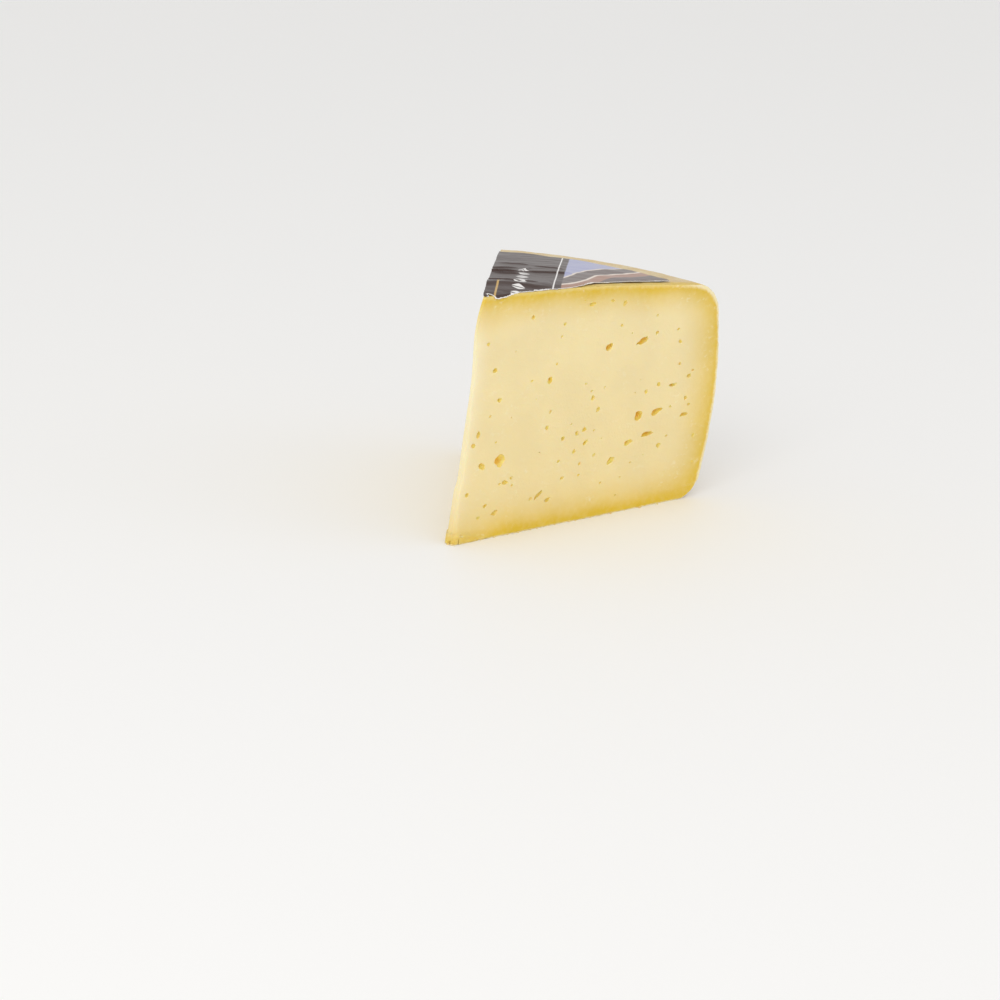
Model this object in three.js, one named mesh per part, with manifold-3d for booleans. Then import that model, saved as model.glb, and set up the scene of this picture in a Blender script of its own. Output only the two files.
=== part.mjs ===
// An eighth of a wheel of sheep milk cheese, standing on its base, with the piece of
// the wheel's round paper label that was cut through with it still on top.
// Millimetres, +Z up. The front cut faces -Y, the thin end is at -X and the rind at +X.

import * as THREE from "three";
import { mergeVertices } from "three/addons/utils/BufferGeometryUtils.js";
import Module from "manifold-3d";

// The whole wheel that the wedge was cut from
const centreHeight = 87.6; // from the table to the middle of the domed top
const wheelRadius = 109.7; // of the wheel's foot and shoulder
const domeDrop = 6.1; // how much lower the top is where the shoulder starts
const shoulderRadius = 9.6; // rounding between top and side
const footRadius = 8.2; // rounding between side and base
const sideBulge = 5.8; // how far the side swells out at half height
const sideLean = 2.6; // how much further out the shoulder is than the foot
const rindUnevenness = 0.35;
const wheelSteps = 120; // facets round the whole wheel

// The two cuts and the thin end where they meet
const wedgeAngle = THREE.MathUtils.degToRad(45.3);
const tipX = -3.5; // where the two cuts meet, past the wheel's axis, in the upper half
const tipFlare = 6.4; // how much further out they meet at the foot
const tipFlareHeight = 62; // where that flare starts
const tipFlareBend = 1.3;
const flakeHeight = 21; // a thin flake still hangs on the foot of the thin end
const flakeDepth = 0.8;
const flakeStep = 2.4;
const tipRounding = 2.9; // the upper corner of the thin end is worn back this much
const tipRoundingHeight = 16;
const noseFootWidth = 3.6; // the thin end is blunt, wider at the foot
const noseTopWidth = 0.9;
const noseRoundness = 0.12; // part of its width that the blunt end stands out
const cutWaviness = 0.3; // the knife did not run quite straight
const knifeReach = 140; // the cuts run on past the rind
const knifeMargin = 6; // and past the top and the base
const knifeSteps = [10, 2, 26]; // facets along the cuts, across the blunt end, and up

// The label's remaining piece
const labelRadius = 90.5;
const labelThickness = 0.4;
const labelGap = 0.3;
const labelInset = 0.4; // how far the torn edges lie back from the cuts
const labelTornWidth = 2.8; // a strip is torn off along the front cut as well
const labelTornFrom = 38; // where that strip starts, and where it is at full width
const labelTornTo = 56;
const labelRaggedness = 0.3;
const labelWrinkle = 0.5;
const labelTipX = 1.4;
const labelSteps = [36, 12, 1]; // facets outwards, across, and through the sheet

// Where the wheel's axis stands, so that the origin is under the middle of the wedge
const wheelAxisX = -54.1;
const wheelAxisY = -42.3;

// The eyes that stand out in the front cut: along it, height, width, tallness, tilt in degrees
const frontEyes = [
  [23, 78, 2.1, 1.7, 10],
  [50.5, 79.7, 3.2, 1.5, 8],
  [60, 80, 1.5, 1.2, 0],
  [66, 78.5, 2, 1.7, 40],
  [38, 74, 1.6, 1.3, 30],
  [60, 63, 3.2, 2.7, 20],
  [76, 63.5, 5.6, 2.1, 22],
  [95, 61, 1.8, 1.4, 0],
  [7, 61, 2.1, 1.7, 0],
  [33, 54, 2.2, 3, -10],
  [54, 45, 2.2, 2, 45],
  [80, 44, 1.8, 1.6, 20],
  [86, 46, 1.9, 1.5, 10],
  [93, 45, 4, 1.3, 4],
  [101, 47.5, 2.3, 1.6, 30],
  [10, 50, 2.2, 1.8, 30],
  [57, 40.5, 2.3, 1.6, 40],
  [77, 35.3, 4.4, 3.8, 35],
  [86, 36, 5.2, 2.1, 22],
  [100, 33, 3.8, 1.4, 8],
  [51, 34, 2.2, 1.7, 10],
  [47.5, 33, 1.8, 1.5, 20],
  [41, 32, 1.8, 1.5, 10],
  [52, 29, 2.8, 1.4, 38],
  [82, 28, 5.4, 1.7, 6],
  [73, 26, 4, 2, 14],
  [65, 20.5, 3.8, 2.2, 30],
  [12, 28, 4.2, 4.4, -30],
  [4, 27, 2.6, 3, 60],
  [0.5, 37, 1.8, 3.6, -75],
  [31, 12.5, 4.6, 1.4, 38],
  [35.5, 10, 2.6, 1.4, 20],
  [11, 9, 3, 1.8, 25],
  [15, 19.5, 2.8, 1.7, 10],
];
const eyeDepth = 0.55; // below the cut, as a part of the eye's mean width
const smallEyes = 30; // strewn over each cut besides those
const smallEyeWidths = [0.9, 1.5];
const smallEyeWidthsBehind = [0.9, 2];
const largeEyesBehind = 14;
const largeEyeWidthsBehind = [2.4, 5];
const eyeEdgeMargin = 8; // no strewn eye comes nearer to the rind than this
const eyeTipMargin = 16; // or to the thin end
const eyeSpacing = 3.4;
const eyeLumpiness = 0.22;
const footChips = 9; // out of the lower edge of the front cut
const footChipWidth = 2.4;
const footChipTallness = 1.6;
const footChipTilt = 20; // at most, in degrees
const footChipsReach = 84;
const footChipDistance = 0.7; // from a chip's middle to the cut
const footChipLevel = 0.1; // and to the table
const crackSize = [0.6, 3, 4];
const crackLean = 8; // degrees

const wasm = await Module();
wasm.setup();

// Repeatable chance, so that the wedge comes out alike every time
function chance(seed) {
  let state = seed;
  return () => {
    state = (state * 16807) % 2147483647;
    return state / 2147483647;
  };
}

// Smooth unevenness between about -1 and 1, from a few waves that never line up
function uneven(a, b, phase) {
  const broad = Math.sin(a * 1.7 + phase) * Math.cos(b * 1.3 - phase);
  const middle = Math.sin(a * 3.9 - b * 2.7 + 2.1 * phase);
  const fine = Math.cos(a * 7.3 + b * 6.1 + 3.3 * phase);
  return 0.5 * broad + 0.32 * middle + 0.18 * fine;
}

function solidFrom(geometry) {
  const bare = geometry.clone();
  bare.deleteAttribute("normal");
  bare.deleteAttribute("uv");
  const merged = mergeVertices(bare, 1e-4);
  return new wasm.Manifold(
    new wasm.Mesh({
      numProp: 3,
      vertProperties: new Float32Array(merged.attributes.position.array),
      triVerts: new Uint32Array(merged.index.array),
    }),
  );
}

function geometryFrom(solid) {
  const mesh = solid.getMesh();
  const geometry = new THREE.BufferGeometry();
  geometry.setAttribute("position", new THREE.BufferAttribute(mesh.vertProperties, 3));
  geometry.setIndex(new THREE.BufferAttribute(mesh.triVerts, 1));
  geometry.computeVertexNormals();
  return geometry;
}

// Moves every vertex of a geometry to where the function puts it
function reshape(geometry, place) {
  const positions = geometry.attributes.position;
  const point = new THREE.Vector3();
  for (let i = 0; i < positions.count; i += 1) {
    point.fromBufferAttribute(positions, i);
    place(point);
    positions.setXYZ(i, point.x, point.y, point.z);
  }
  return geometry;
}

// Pushes a point of the plain wheel outline out to the swollen side
function swell(radius, height) {
  const rimPart = THREE.MathUtils.clamp((radius - 0.6 * wheelRadius) / (0.4 * wheelRadius), 0, 1);
  const level = THREE.MathUtils.clamp(height / (centreHeight - domeDrop), 0, 1);
  const bulge = sideBulge * 4 * level * (1 - level) + sideLean * (level - 0.5);
  return new THREE.Vector2(radius + rimPart * bulge, height);
}

// A point of the domed top, by its distance from the axis before the side is swollen
function topPoint(distance) {
  const share = distance / (wheelRadius - shoulderRadius);
  return swell(distance, centreHeight - domeDrop * share * share);
}

function wheelOutline() {
  const shoulderHeight = centreHeight - domeDrop;
  const points = [new THREE.Vector2(0, 0)];
  for (const part of [0.5, 0.8]) {
    points.push(swell(part * wheelRadius, 0));
  }
  for (let i = 0; i <= 5; i += 1) {
    const turn = (i / 5) * (Math.PI / 2);
    const radius = wheelRadius - footRadius * (1 - Math.sin(turn));
    points.push(swell(radius, footRadius * (1 - Math.cos(turn))));
  }
  const sideSteps = 8;
  for (let i = 1; i < sideSteps; i += 1) {
    const height = THREE.MathUtils.lerp(footRadius, shoulderHeight - shoulderRadius, i / sideSteps);
    points.push(swell(wheelRadius, height));
  }
  for (let i = 0; i <= 6; i += 1) {
    const turn = (i / 6) * (Math.PI / 2);
    const radius = wheelRadius - shoulderRadius * (1 - Math.cos(turn));
    points.push(swell(radius, shoulderHeight - shoulderRadius * (1 - Math.sin(turn))));
  }
  const topSteps = 9;
  for (let i = topSteps - 1; i > 0; i -= 1) {
    points.push(topPoint(((wheelRadius - shoulderRadius) * i) / topSteps));
  }
  points.push(new THREE.Vector2(0, centreHeight));
  return points;
}

// The whole wheel, a little uneven round its side
function wheel() {
  const geometry = new THREE.LatheGeometry(wheelOutline(), wheelSteps);
  geometry.rotateX(Math.PI / 2);
  return reshape(geometry, (point) => {
    const distance = Math.hypot(point.x, point.y);
    const around = Math.atan2(point.y, point.x);
    const rimPart = THREE.MathUtils.smoothstep(distance, 0.85 * wheelRadius, wheelRadius);
    const offset = rimPart * rindUnevenness * uneven(Math.sin(around) * 6, point.z / 16, 1.3);
    if (distance > 0) {
      point.x += (point.x / distance) * offset;
      point.y += (point.y / distance) * offset;
    }
  });
}

// Where along X the two cuts meet at a height
function tipAt(height) {
  const below = THREE.MathUtils.clamp(1 - height / tipFlareHeight, 0, 1);
  const flake = 1 - THREE.MathUtils.smoothstep(height, flakeHeight - flakeStep, flakeHeight + flakeStep);
  const worn = THREE.MathUtils.clamp((height - centreHeight) / tipRoundingHeight + 1, 0, 1.2);
  const flare = tipFlare * below ** tipFlareBend + flakeDepth * flake;
  return tipX - flare + tipRounding * worn * worn;
}

// Width of the blunt thin end at a height
function noseWidthAt(height) {
  const below = THREE.MathUtils.clamp(1 - height / centreHeight, 0, 1);
  return THREE.MathUtils.lerp(noseTopWidth, noseFootWidth, below * below);
}

// The space between the two cuts, as a box bent to the wedge's plan
function betweenCuts() {
  const geometry = new THREE.BoxGeometry(1, 1, 1, ...knifeSteps);
  return reshape(geometry, (point) => {
    const along = point.x + 0.5;
    const across = point.y + 0.5;
    const height = -knifeMargin + (point.z + 0.5) * (centreHeight + 2 * knifeMargin);
    const level = height / centreHeight;
    const noseWidth = noseWidthAt(height);
    const start = noseWidth / (2 * Math.sin(wedgeAngle / 2));
    const reach = THREE.MathUtils.lerp(start, knifeReach, along);
    const front = new THREE.Vector2(reach, 0);
    const back = new THREE.Vector2(Math.cos(wedgeAngle), Math.sin(wedgeAngle)).multiplyScalar(reach);
    const plan = front.lerp(back, across);
    const outward = along === 0 ? noseRoundness * noseWidth * 4 * across * (1 - across) : 0;
    const wave = cutWaviness * uneven(along * 4, level * 3, across * 5) * (2 * across - 1);
    plan.x += tipAt(height) - outward * Math.cos(wedgeAngle / 2) - wave * Math.sin(wedgeAngle / 2);
    plan.y += -outward * Math.sin(wedgeAngle / 2) + wave * Math.cos(wedgeAngle / 2);
    point.set(plan.x, plan.y, height);
  });
}

// One eye: a lumpy bubble, wider along the cut than it is deep
function eye(width, tallness, tilt, seed) {
  const detail = Math.floor(THREE.MathUtils.clamp(width / 2, 0, 2));
  const geometry = new THREE.IcosahedronGeometry(0.5, detail);
  reshape(geometry, (point) => {
    const lump = 1 + eyeLumpiness * uneven(point.x * 5, point.y * 5 + point.z * 4, seed);
    point.multiplyScalar(lump);
  });
  geometry.scale(width, eyeDepth * (width + tallness), tallness);
  geometry.rotateY(-THREE.MathUtils.degToRad(tilt));
  return geometry;
}

// Eyes strewn over a cut by chance, clear of the rind, the thin end and each other
function strewnEyes(count, random, smallest, largest, taken) {
  const list = [...taken];
  const reach = wheelRadius - eyeEdgeMargin;
  const highest = centreHeight - domeDrop - eyeEdgeMargin;
  while (list.length < count + taken.length) {
    const along = THREE.MathUtils.lerp(eyeTipMargin, reach, random());
    const height = THREE.MathUtils.lerp(eyeEdgeMargin, highest, random() ** 1.3);
    const width = smallest + (largest - smallest) * random() ** 2;
    const tallness = width * (0.6 + 0.4 * random());
    const tilt = random() * 60 - 10;
    const clear = list.every(
      (other) => Math.hypot(other[0] - along, other[1] - height) > eyeSpacing + other[2] / 2,
    );
    if (clear) {
      list.push([along, height, width, tallness, tilt]);
    }
  }
  return list;
}

// All eyes of one cut, joined. The cut leaves the line where both meet at an angle to X.
function eyesInCut(list, angle, seed) {
  const lumps = list.map(([along, height, width, tallness, tilt], index) => {
    const lump = eye(width, tallness, tilt, seed + index);
    const tip = tipAt(height);
    lump.translate(along - tip, 0, height);
    lump.rotateZ(angle);
    lump.translate(tip, 0, 0);
    return solidFrom(lump);
  });
  return wasm.Manifold.union(lumps);
}

// Small bites out of the lower edge of the front cut and the blunt end, and one short crack
function crumbledFoot() {
  const random = chance(29);
  const lumps = [];
  const start = tipAt(0) + noseFootWidth / (2 * Math.sin(wedgeAngle / 2));
  for (let i = 0; i < footChips; i += 1) {
    const tallness = footChipTallness + random();
    const chip = eye(footChipWidth * (1 + random()), tallness, footChipTilt * random(), i);
    const along = footChipWidth * (1.5 + random()) + footChipsReach * (i / footChips) ** 1.4;
    chip.translate(start + along, -footChipDistance, footChipLevel);
    lumps.push(solidFrom(chip));
  }
  const crack = new THREE.BoxGeometry(...crackSize);
  crack.rotateY(THREE.MathUtils.degToRad(crackLean));
  crack.translate(start + 2 * crackSize[0], 0, crackSize[2] / 4);
  lumps.push(solidFrom(crack));
  return wasm.Manifold.union(lumps);
}

function cheeseWedge() {
  const wedge = solidFrom(wheel()).intersect(solidFrom(betweenCuts()));
  const inFront = strewnEyes(smallEyes, chance(7), ...smallEyeWidths, frontEyes);
  const largeBehind = strewnEyes(largeEyesBehind, chance(11), ...largeEyeWidthsBehind, []);
  const behind = strewnEyes(smallEyes, chance(13), ...smallEyeWidthsBehind, largeBehind);
  const solid = wedge
    .subtract(eyesInCut(inFront, 0, 1))
    .subtract(eyesInCut(behind, wedgeAngle, 50))
    .subtract(crumbledFoot());
  const largest = solid.decompose().sort((a, b) => b.volume() - a.volume())[0];
  const mesh = new THREE.Mesh(
    geometryFrom(largest),
    new THREE.MeshStandardMaterial({ color: 0xf1dfa6, roughness: 0.5, metalness: 0 }),
  );
  mesh.name = "cheese_wedge";
  return mesh;
}

// The label: a thin creased sheet over the top, torn along both cuts, round at its outer edge
function topLabel() {
  const backCutOffset = -tipAt(centreHeight) * Math.sin(wedgeAngle);
  const geometry = new THREE.BoxGeometry(1, 1, 1, ...labelSteps);
  reshape(geometry, (point) => {
    const along = point.x + 0.5;
    const across = point.y + 0.5;
    const distance = THREE.MathUtils.lerp(labelTipX, labelRadius, along);
    const ragged = labelInset + labelRaggedness * uneven(along * 33, across * 9, 4);
    const inset = Math.min(ragged, 0.3 * distance * wedgeAngle);
    const torn = labelTornWidth * THREE.MathUtils.smoothstep(distance, labelTornFrom, labelTornTo);
    const frontEdge = (inset + torn) / distance;
    const backEdge = wedgeAngle + (backCutOffset - inset) / distance;
    const angle = THREE.MathUtils.lerp(frontEdge, backEdge, across);
    const onTop = topPoint(distance);
    const crease = labelWrinkle * Math.max(0, uneven(along * 9 - across * 3, across * 5, 2)) ** 2;
    const height = onTop.y + labelGap + crease + (point.z + 0.5) * labelThickness;
    point.set(onTop.x * Math.cos(angle), onTop.x * Math.sin(angle), height);
  });
  const mesh = new THREE.Mesh(
    geometryFrom(solidFrom(geometry)),
    new THREE.MeshStandardMaterial({ color: 0x5a5250, roughness: 0.45, metalness: 0 }),
  );
  mesh.name = "top_label";
  return mesh;
}

const wedgeOfCheese = new THREE.Group();
wedgeOfCheese.add(cheeseWedge(), topLabel());
wedgeOfCheese.position.set(wheelAxisX, wheelAxisY, 0);

export default wedgeOfCheese;
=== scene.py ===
"""A wedge of sheep milk cheese with the cut piece of its paper label.

The file is laid out as an add-on and run as a script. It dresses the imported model: each
piece replaces the plain solid of the same place. Lengths are in metres. The pieces are made
about the wheel's axis, which both cuts pass close to, and then moved to where the axis stands.
"""

import functools
import math

import bmesh
import bpy
from mathutils import Matrix, Vector, noise


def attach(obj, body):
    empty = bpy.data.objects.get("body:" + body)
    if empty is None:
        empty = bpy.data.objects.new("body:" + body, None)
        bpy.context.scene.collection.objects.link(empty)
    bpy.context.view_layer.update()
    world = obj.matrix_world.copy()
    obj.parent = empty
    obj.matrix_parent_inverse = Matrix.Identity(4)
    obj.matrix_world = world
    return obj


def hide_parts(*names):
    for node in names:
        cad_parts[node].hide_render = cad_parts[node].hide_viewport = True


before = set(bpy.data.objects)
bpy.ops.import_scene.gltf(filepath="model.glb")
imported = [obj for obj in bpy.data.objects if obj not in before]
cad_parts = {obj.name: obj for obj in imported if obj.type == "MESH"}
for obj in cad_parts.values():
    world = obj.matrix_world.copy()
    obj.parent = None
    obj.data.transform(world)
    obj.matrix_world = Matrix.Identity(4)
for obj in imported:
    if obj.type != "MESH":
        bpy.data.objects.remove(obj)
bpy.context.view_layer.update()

bl_info = {
    "name": "Cheese Wedge",
    "version": (1, 0, 0),
    "blender": (4, 5, 0),
    "location": "3D View > Sidebar > Cheese",
    "description": "Builds a wedge of sheep milk cheese with the cut piece of its label",
    "category": "Add Mesh",
}

MM = 0.001
FULL_TURN = 2 * math.pi

# Settings of a node that mixes colours, and of one that maps a range with smooth ends
COLOURS = {"data_type": "RGBA"}
SMOOTH = {"interpolation_type": "SMOOTHSTEP"}

# The place of the eyes' material in the list of the cheese, after the rind and the paste
EYE_INDEX = 2

# The eyes that stand out in the front cut: distance from the wheel's axis, height, width and
# tallness in mm, and tilt in degrees
FRONT_EYES = [
    (23, 78, 2.1, 1.7, 10),
    (50.5, 79.7, 3.2, 1.5, 8),
    (60, 80, 1.5, 1.2, 0),
    (66, 78.5, 2, 1.7, 40),
    (38, 74, 1.6, 1.3, 30),
    (60, 63, 3.2, 2.7, 20),
    (76, 63.5, 5.6, 2.1, 22),
    (95, 61, 1.8, 1.4, 0),
    (7, 61, 2.1, 1.7, 0),
    (33, 54, 2.2, 3, -10),
    (54, 45, 2.2, 2, 45),
    (80, 44, 1.8, 1.6, 20),
    (86, 46, 1.9, 1.5, 10),
    (93, 45, 4, 1.3, 4),
    (101, 47.5, 2.3, 1.6, 30),
    (10, 50, 2.2, 1.8, 30),
    (57, 40.5, 2.3, 1.6, 40),
    (77, 35.3, 4.4, 3.8, 35),
    (86, 36, 5.2, 2.1, 22),
    (100, 33, 3.8, 1.4, 8),
    (51, 34, 2.2, 1.7, 10),
    (47.5, 33, 1.8, 1.5, 20),
    (41, 32, 1.8, 1.5, 10),
    (52, 29, 2.8, 1.4, 38),
    (82, 28, 5.4, 1.7, 6),
    (73, 26, 4, 2, 14),
    (65, 20.5, 3.8, 2.2, 30),
    (12, 28, 4.2, 4.4, -30),
    (4, 27, 2.6, 3, 60),
    (1.2, 38.6, 1.7, 2.8, -14),
    (-0.6, 35, 1.7, 1.9, -20),
    (31, 12.5, 4.6, 1.4, 38),
    (35.5, 10, 2.6, 1.4, 20),
    (11, 9, 3, 1.8, 25),
    (15, 19.5, 2.8, 1.7, 10),
]

# The smaller eyes in the front cut: distance from the wheel's axis, height and width in mm
SMALL_EYES = [
    (37.2, 69.5, 1.5),
    (65.2, 70.4, 1.3),
    (82.9, 65.8, 1.6),
    (93.7, 65.9, 1.4),
    (82.4, 72.3, 1.2),
    (3.4, 70.8, 1.5),
    (24.6, 55, 1.5),
    (35.8, 59.8, 1.7),
    (50.2, 50.8, 1.2),
    (95.6, 52.6, 1.3),
    (102.6, 49.4, 1.4),
    (100, 39.3, 1.7),
    (102, 36.5, 1.5),
    (92.7, 36.9, 1.3),
    (53.2, 47.8, 1.4),
    (34.2, 42.7, 1.4),
    (6.2, 44.7, 1.4),
    (33.1, 37.1, 1.9),
    (55.7, 32.9, 1.1),
    (46.7, 26.4, 1.7),
    (56.6, 23.6, 1.6),
    (49.9, 21.3, 1.5),
    (50, 17.1, 1.5),
    (39.5, 23.7, 1.6),
    (42, 17.1, 1.8),
    (88.4, 22.8, 2.2),
    (91.8, 25.9, 1.3),
    (105.9, 24, 1.8),
    (106.5, 14, 1.4),
    (9.8, 34.9, 1.1),
    (12.6, 19.4, 1.2),
    (17.8, 20.8, 1.5),
    (18.4, 18, 1),
    (6.4, 12.2, 1.9),
    (3.6, 8.2, 1.6),
    (27.5, 11.6, 1.6),
    (60.8, 12.6, 1.2),
    (68.7, 6.7, 1.1),
    (47, 81.6, 1),
    (-2, 17.4, 1.8),
]

# The cracks in the foot: distance past the blunt end, width, depth and tallness in mm
CRACKS = [
    (1.0, 0.5, 2.2, 3.4),
    (-1.4, 0.45, 1.4, 2.4),
    (-2.7, 0.4, 1.2, 1.8),
]

# The larger creases of the label: both ends from the wheel's axis, height and width in mm
CREASES = [
    (25, 31.4, 38, 25.7, 0.62, 0.7),
    (39, 25.6, 56, 17.4, 0.5, 0.7),
    (26, 26.4, 36, 21.8, 0.36, 0.6),
    (13, 19.4, 26, 13.2, 0.35, 0.8),
    (5, 14, 33, 1, 1.0, 4.6),
    (38.1, 25.7, 47.5, 30.6, 0.5, 0.6),
    (31.5, 34.8, 42.7, 31.2, 0.36, 0.9),
    (51.5, 33.4, 58.7, 25.5, 0.3, 1.0),
    (42, 42, 51, 35.8, 0.3, 1.2),
    (17, 11.5, 30, 6.4, 0.4, 1.0),
]


def linear(hex_colour):
    """Turns an sRGB colour such as 0xF1DFA6 into linear red, green and blue."""
    channels = [(hex_colour >> shift & 255) / 255 for shift in (16, 8, 0)]
    return tuple(c / 12.92 if c <= 0.04045 else ((c + 0.055) / 1.055) ** 2.4 for c in channels)


def length(name, description, millimetres):
    """A length that a user can change, given in millimetres and kept in metres."""
    return bpy.props.FloatProperty(
        name=name,
        description=description,
        default=millimetres * MM,
        unit="LENGTH",
        precision=4,
    )


def angle(name, description, degrees):
    """An angle that a user can change, given in degrees and kept in radians."""
    return bpy.props.FloatProperty(
        name=name,
        description=description,
        default=math.radians(degrees),
        subtype="ANGLE",
    )


def share(name, description, default):
    """A plain number that a user can change."""
    return bpy.props.FloatProperty(name=name, description=description, default=default)


def count(name, description, default):
    """A number of like things that a user can change."""
    return bpy.props.IntProperty(name=name, description=description, default=default, min=0)


def tint(name, description, hex_colour):
    """A colour that a user can change."""
    return bpy.props.FloatVectorProperty(
        name=name,
        description=description,
        subtype="COLOR",
        min=0,
        max=1,
        default=linear(hex_colour),
    )


class WedgeSizes(bpy.types.PropertyGroup):
    """Sizes of the wheel, of the two cuts and of the eyes"""

    wheel_axis_x: length("Wheel axis X", "Where the wheel's axis stands", -54.1)
    wheel_axis_y: length("Wheel axis Y", "Where the wheel's axis stands", -42.3)
    centre_height: length("Height", "From the table to the middle of the domed top", 87.6)
    wheel_radius: length("Radius", "Radius of the wheel at its foot", 109.7)
    dome_drop: length("Dome", "How much lower the top is where the shoulder starts", 6.1)
    shoulder_radius: length("Shoulder", "Rounding between the top and the side", 9.6)
    foot_radius: length("Foot", "Rounding between the side and the base", 8.2)
    side_bulge: length("Bulge", "How far the side swells out at half height", 5.8)
    side_lean: length("Lean", "How much further out the shoulder is than the foot", 2.6)
    rind_unevenness: length("Unevenness", "How far the rind strays from round", 0.35)
    wedge_angle: angle("Wedge angle", "Between the two cuts", 45.3)
    tip_x: length("Thin end", "Where the cuts meet, past the axis, in the upper half", -3.5)
    tip_flare: length("Flare", "How much further out the cuts meet at the foot", 6.4)
    tip_flare_height: length("Flare height", "Height at which the flare starts", 62)
    tip_flare_bend: share("Flare bend", "How suddenly the thin end flares", 1.3)
    flake_height: length("Flake height", "Height of the flake that hangs on the thin end", 21)
    flake_depth: length("Flake depth", "How far the flake stands out", 0.8)
    flake_step: length("Flake step", "Half the height over which the flake ends", 2.4)
    tip_rounding: length("Worn tip", "How far the thin end's upper corner is worn back", 2.9)
    tip_rounding_height: length("Worn height", "Height of that wear", 16)
    nose_foot_width: length("Blunt end at foot", "Width of the blunt end at the foot", 3.6)
    nose_top_width: length("Blunt end at top", "Width of the blunt end at the top", 0.9)
    nose_roundness: share("Roundness", "Part of its width that the blunt end stands out", 0.12)
    band_at_nose: length("Band at thin end", "Height of the crumbly foot at the thin end", 3.2)
    band_elsewhere: length("Band elsewhere", "Height of the crumbly foot along the cuts", 0.6)
    cut_waviness: length("Waviness", "How far the knife strayed", 0.3)
    knife_reach: length("Knife reach", "How far the cuts run from where they meet", 140)
    knife_margin: length("Knife margin", "How far past the top and base the cuts run on", 6)
    edge_wear: length("Edge wear", "How far the edges between cuts and rind are worn", 0.05)
    eye_depth: share("Eye depth", "Depth of an eye as a part of its mean width", 0.55)
    eye_lumpiness: share("Eye lumpiness", "How uneven the eyes are", 0.22)
    eye_edge_margin: length("Eye margin", "Clear strip along the rind", 8)
    eye_tip_margin: length("Eye tip margin", "Clear strip along the thin end", 16)
    eye_spacing: length("Eye spacing", "Least distance between strewn eyes", 3.4)
    pinholes: count("Pinholes", "Strewn over the front cut besides the listed eyes", 14)
    small_eyes_behind: count("Small eyes behind", "Strewn over the back cut", 44)
    large_eyes_behind: count("Large eyes behind", "Larger eyes in the back cut", 14)
    foot_bites: count("Bites", "Small bites out of the lower edge of the front cut", 34)
    crumbs: count("Crumbs", "Crumbs along the foot of the front cut", 70)


class CheeseColours(bpy.types.PropertyGroup):
    """Colours of the paste and of the rind"""

    paste: tint("Paste", "Middle of the cheese", 0xF5E2AD)
    # On the thin end this colour is a painted highlight of the light from the left; the small scars
    # are really pale
    pale_paste_and_nose_highlight: tint("Fresh paste", "Paste at the thin end and round small scars", 0xFBEFCB)
    ripe_paste: tint("Ripe paste", "Paste under the rind", 0xE3BF34)
    rind_line: tint("Rind line", "The rind where it is cut through", 0xF8E8BC)
    # Both eye colours are painted shade and painted glow of light through the paste: an eye is
    # painted darker and more amber the deeper it lies
    eye: tint("Eye", "Inside of the shallow eyes", 0xF2DC78)
    deep_eye_shade: tint("Deep eye", "Bottom of the deep eyes", 0xF6C648)
    rind: tint("Rind", "Dry natural rind", 0xE2CEA2)
    rind_dark: tint("Dark rind", "Hollows and weave marks in the rind", 0xD3B47A)
    rind_pale: tint("Pale rind", "Dusty bloom on the rind", 0xEAE1CE)


class LabelDesign(bpy.types.PropertyGroup):
    """Sizes and colours of the paper label"""

    radius: length("Radius", "Radius of the label", 90.5)
    tip_x: length("Thin end", "Where the label starts at the thin end", 1.2)
    inset: length("Inset", "How far the torn edge lies back from the front cut", 0.15)
    overhang: length("Overhang", "How far the label reaches past the back cut", 0.15)
    torn_width: length("Torn strip", "Width of the strip torn off along the front cut", 3.1)
    torn_from: length("Torn from", "Where that strip starts, from the wheel's axis", 38)
    torn_to: length("Torn to", "Where that strip has its full width", 56)
    notch_at: length("Notch", "Where the torn edge has its notch, from the wheel's axis", 3.3)
    notch_depth: length("Notch depth", "Depth of that notch", 2.4)
    notch_fibres_at: length("Notch fibres", "Centre of the bare fibres at the notch", 3.4)
    raggedness: length("Raggedness", "How ragged the torn edges are", 0.3)
    thickness: length("Thickness", "Thickness of the sheet", 0.16)
    gap: length("Gap", "How far the sheet lies above the rind", 0.25)
    curl: length("Curl", "How much lower the torn edge lies than the sheet beside it", 0.55)
    stripe_at: length("Stripe", "Distance of the thin stripe from the back cut", 3.2)
    stripe_length: length("Stripe length", "Where the thin stripe ends", 21)
    leaves_at: length("Leaves", "Distance of the row of leaves from the back cut", 10.4)
    leaf_pitch: length("Leaf pitch", "From one leaf to the next", 6.4)
    leaf_reach: length("Leaf reach", "Half the length of a leaf", 2.7)
    leaves_from: length("Leaves from", "Where the row of leaves starts", 6)
    leaves_to: length("Leaves to", "Where the row of leaves ends", 51)
    line_at: length("Line", "Distance of the white line from the back cut", 22)
    bands_at: length("Bands", "Distance from the back cut at which the bands start", 24.4)
    charcoal: tint("Charcoal", "Ground of the print", 0x3A2721)
    white: tint("White", "Ornament, line and torn paper", 0xF2EFEC)
    gold: tint("Gold", "Thin stripe", 0xC9A45E)
    lilac: tint("Lilac", "First band", 0xABAECE)
    mauve: tint("Mauve", "Second band", 0x6A5C58)
    terracotta: tint("Terracotta", "Third band", 0xAA806C)
    cream: tint("Cream", "Lines between the bands", 0xE9DCCF)


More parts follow.
